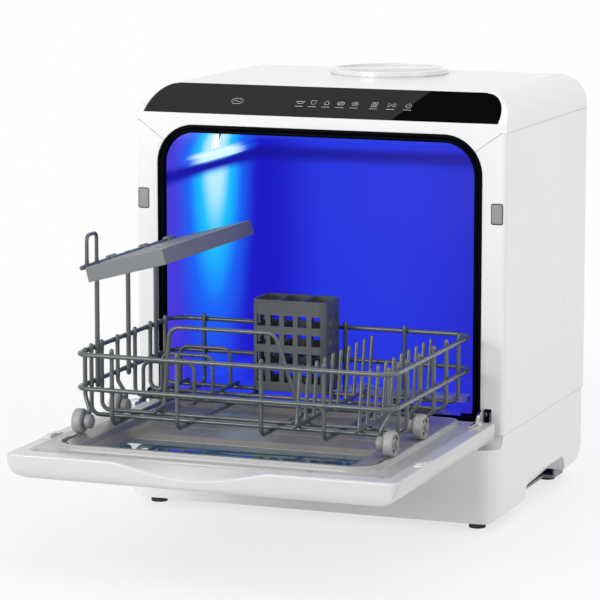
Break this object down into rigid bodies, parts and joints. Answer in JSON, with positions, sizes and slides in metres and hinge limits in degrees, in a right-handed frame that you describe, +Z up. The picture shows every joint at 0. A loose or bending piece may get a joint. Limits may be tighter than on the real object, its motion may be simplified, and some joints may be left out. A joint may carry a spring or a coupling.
{
  "type": "countertop dishwasher",
  "caption": "Boxy worktop dishwasher with a round-edged roof, a fold-down door, a wire basket on wheels, a cup shelf and a cutlery holder.",
  "frame": {"origin": "centre of the bounding box in plan, at the feet's underside", "axes": "+X to the right seen from the front, +Y from the door into the machine, +Z up"},
  "size_m": [0.42, 0.662, 0.463],
  "materials": {
    "white_plastic": "satin moulded",
    "dark_plastic": "fine grain",
    "grey_plastic": "fine grain",
    "light_plastic": "smooth",
    "panel_gloss": "high gloss",
    "seal_rubber": "matte",
    "tub_liner": "smooth",
    "steel": "brushed",
    "chrome_steel": "polished",
    "coated_wire": "nylon coated",
    "window_glass": "clear",
    "dark_glass": "tinted",
    "cap_plastic": "translucent",
    "lamp_lens": "clear",
    "circuit_board": "lacquered"
  },
  "bodies": {
    "cabinet": {"base_pan": "dark_plastic", "base_shell": "white_plastic", "feet": "seal_rubber", "front_frame": "white_plastic", "side_panel_left": "white_plastic", "side_panel_right": "white_plastic", "top_cover": "white_plastic", "control_panel": "panel_gloss", "control_board": "circuit_board", "back_cover": "white_plastic", "tub": "tub_liner", "door_gasket": "seal_rubber", "door_catches": "grey_plastic", "hinge_brackets": "steel", "sump": "dark_plastic", "filter_plate": "steel", "wash_pump": "dark_plastic", "drain_pump": "dark_plastic", "heater": "steel", "spray_arm_post": "light_plastic", "water_tank": "light_plastic", "fill_neck": "light_plastic", "cap_seal": "seal_rubber", "drying_fan": "dark_plastic", "drain_spigot": "dark_plastic", "inlet_connector": "light_plastic", "tub_lamp": "lamp_lens"},
    "door": {"door_panel": "white_plastic", "door_liner": "light_plastic", "window_pane": "window_glass", "window_seal": "seal_rubber", "outer_pane": "dark_glass", "latch_hooks": "light_plastic", "hinge_arms": "chrome_steel", "door_screws": "chrome_steel"},
    "front_axle": {"front_axles": "steel"},
    "wheel_front_left": {"front_wheel_left": "grey_plastic"},
    "wheel_front_right": {"front_wheel_right": "grey_plastic"},
    "wheel_rear_left": {"rear_wheel_left": "grey_plastic"},
    "wheel_rear_right": {"rear_wheel_right": "grey_plastic"},
    "basket": {"wheel_brackets": "grey_plastic", "rear_axles": "steel", "basket_rims": "coated_wire", "lengthwise_wires": "coated_wire", "crosswise_wires": "coated_wire", "wheel_struts": "coated_wire", "plate_tines": "coated_wire", "cup_loops": "coated_wire", "shelf_posts": "coated_wire"},
    "shelf": {"cup_shelf": "grey_plastic"},
    "cutlery": {"cutlery_holder": "grey_plastic"},
    "spray": {"spray_arm": "light_plastic"},
    "cap": {"fill_cap": "cap_plastic"},
    "filter": {"filter_cup": "grey_plastic"}
  },
  "joints": [
    {"name": "door_hinge", "type": "hinge", "parent": "cabinet", "child": "door", "pos_m": [0, -0.007, 0.107], "axis": [-1, 0, 0], "range_deg": [0, 90]},
    {"name": "basket_roll", "type": "slide", "parent": "door", "child": "front_axle", "axis": [0, 1, 0], "range_m": [0, 0.2021]},
    {"name": "basket_level", "type": "hinge", "parent": "front_axle", "child": "basket", "pos_m": [0, -0.236, 0.134], "axis": [-1, 0, 0], "range_deg": [-90.1, 0]},
    {"name": "front_wheel_left_spin", "type": "hinge", "parent": "front_axle", "child": "wheel_front_left", "pos_m": [-0.168, -0.236, 0.134], "axis": [1, 0, 0], "continuous": true},
    {"name": "front_wheel_right_spin", "type": "hinge", "parent": "front_axle", "child": "wheel_front_right", "pos_m": [0.168, -0.236, 0.134], "axis": [1, 0, 0], "continuous": true},
    {"name": "rear_wheel_left_spin", "type": "hinge", "parent": "basket", "child": "wheel_rear_left", "pos_m": [-0.168, -0.144, 0.134], "axis": [1, 0, 0], "continuous": true},
    {"name": "rear_wheel_right_spin", "type": "hinge", "parent": "basket", "child": "wheel_rear_right", "pos_m": [0.168, -0.144, 0.134], "axis": [1, 0, 0], "continuous": true},
    {"name": "cup_shelf_fold", "type": "hinge", "parent": "basket", "child": "shelf", "pos_m": [-0.16645, -0.236, 0.291], "axis": [0, -1, 0], "range_deg": [0, 60]},
    {"name": "cutlery_lift", "type": "slide", "parent": "basket", "child": "cutlery", "axis": [0, 0, 1], "range_m": [0, 0.06]},
    {"name": "spray_arm_spin", "type": "hinge", "parent": "cabinet", "child": "spray", "pos_m": [0, 0.153, 0.108], "axis": [0, 0, 1], "continuous": true},
    {"name": "fill_cap_lift", "type": "slide", "parent": "cabinet", "child": "cap", "axis": [0, 0, 1], "range_m": [0, 0.025]},
    {"name": "filter_cup_twist", "type": "hinge", "parent": "cabinet", "child": "filter", "pos_m": [0.084, 0.091, 0.078], "axis": [0, 0, 1], "range_deg": [0, 60]}
  ],
  "couplings": [
    {"joint": "basket_roll", "follows": "door_hinge", "m_per_rad": 0.1286},
    {"joint": "basket_level", "follows": "door_hinge", "ratio": -1}
  ]
}
